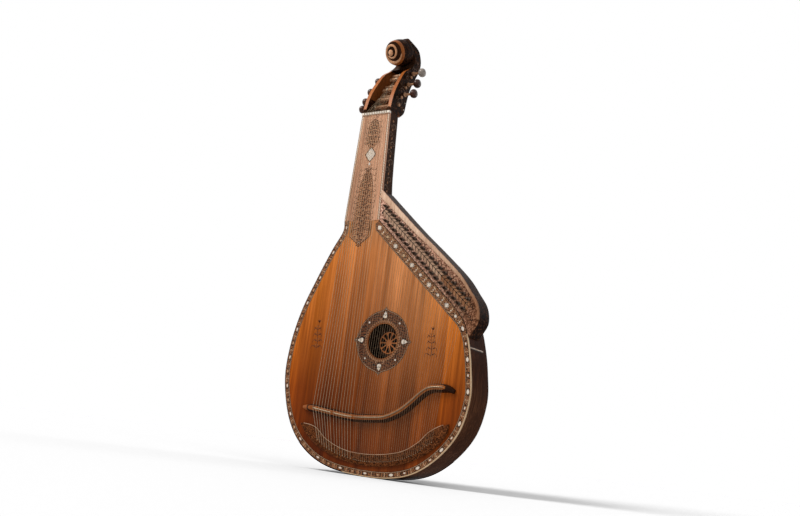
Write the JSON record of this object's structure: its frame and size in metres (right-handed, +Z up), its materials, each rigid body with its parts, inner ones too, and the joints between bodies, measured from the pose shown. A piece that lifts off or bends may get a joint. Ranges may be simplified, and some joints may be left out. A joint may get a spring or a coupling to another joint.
{
  "type": "bandura",
  "caption": "Bandura: carved oval bowl, inlaid soundboard with pierced rose, short neck with scrolled peg head, wing of tuning pins and S-shaped bridge",
  "frame": {"origin": "Under the middle of the whole bandura's box, at the height of the lowest point of the bowl", "axes": "+X to the right across the soundboard as a viewer sees it, +Y from the soundboard to the back, +Z up along the neck to the head"},
  "size_m": [0.4682, 0.1342, 0.9995],
  "materials": {
    "dark_carved_wood": "glossy varnish over carving",
    "amber_soundboard_wood": "satin varnish, straight grain",
    "inlaid_marquetry": "satin, light and dark veneer with pearl",
    "dark_neck_wood": "glossy varnish",
    "brown_carved_wood": "satin, carved in low relief",
    "light_strip_wood": "satin",
    "pale_spruce": "bare",
    "bone": "polished bone",
    "bright_steel": "drawn wire and turned steel"
  },
  "bodies": {
    "frame": {"body_shell": "dark_carved_wood", "soundboard": "amber_soundboard_wood", "edge_border": "inlaid_marquetry", "sound_hole_rosette": "inlaid_marquetry", "brace_1": "pale_spruce", "brace_2": "pale_spruce", "brace_3": "pale_spruce", "brace_4": "pale_spruce", "rose_board": "amber_soundboard_wood", "neck": "dark_neck_wood", "fingerboard": "inlaid_marquetry", "nut": "bone", "head": "dark_carved_wood", "wing_block": "brown_carved_wood", "wing_edge_strip": "light_strip_wood", "bridge": "dark_carved_wood", "hitch_board": "brown_carved_wood", "bass_strings": "bright_steel", "tenor_strings": "bright_steel", "treble_strings": "bright_steel"},
    "peg_1_body": {"peg_1": "dark_carved_wood"},
    "peg_2_body": {"peg_2": "dark_carved_wood"},
    "peg_3_body": {"peg_3": "dark_carved_wood"},
    "peg_4_body": {"peg_4": "dark_carved_wood"},
    "peg_5_body": {"peg_5": "dark_carved_wood"},
    "peg_6_body": {"peg_6": "dark_carved_wood"},
    "peg_7_body": {"peg_7": "dark_carved_wood"},
    "tuning_pin_1_body": {"tuning_pin_1": "bright_steel"},
    "tuning_pin_2_body": {"tuning_pin_2": "bright_steel"},
    "tuning_pin_3_body": {"tuning_pin_3": "bright_steel"},
    "tuning_pin_4_body": {"tuning_pin_4": "bright_steel"},
    "tuning_pin_5_body": {"tuning_pin_5": "bright_steel"},
    "tuning_pin_6_body": {"tuning_pin_6": "bright_steel"},
    "tuning_pin_7_body": {"tuning_pin_7": "bright_steel"},
    "tuning_pin_8_body": {"tuning_pin_8": "bright_steel"},
    "tuning_pin_9_body": {"tuning_pin_9": "bright_steel"},
    "tuning_pin_10_body": {"tuning_pin_10": "bright_steel"},
    "tuning_pin_11_body": {"tuning_pin_11": "bright_steel"},
    "tuning_pin_12_body": {"tuning_pin_12": "bright_steel"},
    "tuning_pin_13_body": {"tuning_pin_13": "bright_steel"},
    "tuning_pin_14_body": {"tuning_pin_14": "bright_steel"},
    "tuning_pin_15_body": {"tuning_pin_15": "bright_steel"},
    "tuning_pin_16_body": {"tuning_pin_16": "bright_steel"},
    "tuning_pin_17_body": {"tuning_pin_17": "bright_steel"},
    "tuning_pin_18_body": {"tuning_pin_18": "bright_steel"},
    "tuning_pin_19_body": {"tuning_pin_19": "bright_steel"},
    "tuning_pin_20_body": {"tuning_pin_20": "bright_steel"}
  },
  "joints": [
    {"name": "peg_1_turn", "type": "hinge", "parent": "frame", "child": "peg_1_body", "pos_m": [-0.0816, -0.0195, 0.81577], "axis": [1, 0, 0], "continuous": true},
    {"name": "peg_2_turn", "type": "hinge", "parent": "frame", "child": "peg_2_body", "pos_m": [-0.0816, -0.0121, 0.83686], "axis": [1, 0, 0], "continuous": true},
    {"name": "peg_3_turn", "type": "hinge", "parent": "frame", "child": "peg_3_body", "pos_m": [-0.0816, -0.00212, 0.84728], "axis": [1, 0, 0], "continuous": true},
    {"name": "peg_4_turn", "type": "hinge", "parent": "frame", "child": "peg_4_body", "pos_m": [-0.0816, 0.0012, 0.86613], "axis": [1, 0, 0], "continuous": true},
    {"name": "peg_5_turn", "type": "hinge", "parent": "frame", "child": "peg_5_body", "pos_m": [-0.0816, 0.00887, 0.8766], "axis": [1, 0, 0], "continuous": true},
    {"name": "peg_6_turn", "type": "hinge", "parent": "frame", "child": "peg_6_body", "pos_m": [-0.0816, 0.02122, 0.90087], "axis": [1, 0, 0], "continuous": true},
    {"name": "peg_7_turn", "type": "hinge", "parent": "frame", "child": "peg_7_body", "pos_m": [-0.0816, 0.02766, 0.91204], "axis": [1, 0, 0], "continuous": true},
    {"name": "tuning_pin_1_turn", "type": "hinge", "parent": "frame", "child": "tuning_pin_1_body", "pos_m": [-0.01799, -0.0466, 0.56508], "axis": [0, 1, 0], "continuous": true},
    {"name": "tuning_pin_2_turn", "type": "hinge", "parent": "frame", "child": "tuning_pin_2_body", "pos_m": [-0.00613, -0.0466, 0.55452], "axis": [0, 1, 0], "continuous": true},
    {"name": "tuning_pin_3_turn", "type": "hinge", "parent": "frame", "child": "tuning_pin_3_body", "pos_m": [0.00573, -0.0466, 0.54396], "axis": [0, 1, 0], "continuous": true},
    {"name": "tuning_pin_4_turn", "type": "hinge", "parent": "frame", "child": "tuning_pin_4_body", "pos_m": [0.01759, -0.0466, 0.5334], "axis": [0, 1, 0], "continuous": true},
    {"name": "tuning_pin_5_turn", "type": "hinge", "parent": "frame", "child": "tuning_pin_5_body", "pos_m": [0.02945, -0.0466, 0.52284], "axis": [0, 1, 0], "continuous": true},
    {"name": "tuning_pin_6_turn", "type": "hinge", "parent": "frame", "child": "tuning_pin_6_body", "pos_m": [0.04131, -0.0466, 0.51228], "axis": [0, 1, 0], "continuous": true},
    {"name": "tuning_pin_7_turn", "type": "hinge", "parent": "frame", "child": "tuning_pin_7_body", "pos_m": [0.05317, -0.0466, 0.50172], "axis": [0, 1, 0], "continuous": true},
    {"name": "tuning_pin_8_turn", "type": "hinge", "parent": "frame", "child": "tuning_pin_8_body", "pos_m": [0.06503, -0.0466, 0.49116], "axis": [0, 1, 0], "continuous": true},
    {"name": "tuning_pin_9_turn", "type": "hinge", "parent": "frame", "child": "tuning_pin_9_body", "pos_m": [0.07689, -0.0466, 0.4806], "axis": [0, 1, 0], "continuous": true},
    {"name": "tuning_pin_10_turn", "type": "hinge", "parent": "frame", "child": "tuning_pin_10_body", "pos_m": [0.08875, -0.0466, 0.47004], "axis": [0, 1, 0], "continuous": true},
    {"name": "tuning_pin_11_turn", "type": "hinge", "parent": "frame", "child": "tuning_pin_11_body", "pos_m": [0.10061, -0.0466, 0.45948], "axis": [0, 1, 0], "continuous": true},
    {"name": "tuning_pin_12_turn", "type": "hinge", "parent": "frame", "child": "tuning_pin_12_body", "pos_m": [0.11246, -0.0466, 0.44892], "axis": [0, 1, 0], "continuous": true},
    {"name": "tuning_pin_13_turn", "type": "hinge", "parent": "frame", "child": "tuning_pin_13_body", "pos_m": [0.12432, -0.0466, 0.43836], "axis": [0, 1, 0], "continuous": true},
    {"name": "tuning_pin_14_turn", "type": "hinge", "parent": "frame", "child": "tuning_pin_14_body", "pos_m": [0.13618, -0.0466, 0.4278], "axis": [0, 1, 0], "continuous": true},
    {"name": "tuning_pin_15_turn", "type": "hinge", "parent": "frame", "child": "tuning_pin_15_body", "pos_m": [0.14804, -0.0466, 0.41724], "axis": [0, 1, 0], "continuous": true},
    {"name": "tuning_pin_16_turn", "type": "hinge", "parent": "frame", "child": "tuning_pin_16_body", "pos_m": [0.1599, -0.0466, 0.40668], "axis": [0, 1, 0], "continuous": true},
    {"name": "tuning_pin_17_turn", "type": "hinge", "parent": "frame", "child": "tuning_pin_17_body", "pos_m": [0.17176, -0.0466, 0.39612], "axis": [0, 1, 0], "continuous": true},
    {"name": "tuning_pin_18_turn", "type": "hinge", "parent": "frame", "child": "tuning_pin_18_body", "pos_m": [0.18362, -0.0466, 0.38556], "axis": [0, 1, 0], "continuous": true},
    {"name": "tuning_pin_19_turn", "type": "hinge", "parent": "frame", "child": "tuning_pin_19_body", "pos_m": [0.19548, -0.0466, 0.375], "axis": [0, 1, 0], "continuous": true},
    {"name": "tuning_pin_20_turn", "type": "hinge", "parent": "frame", "child": "tuning_pin_20_body", "pos_m": [0.20734, -0.0466, 0.36444], "axis": [0, 1, 0], "continuous": true}
  ]
}
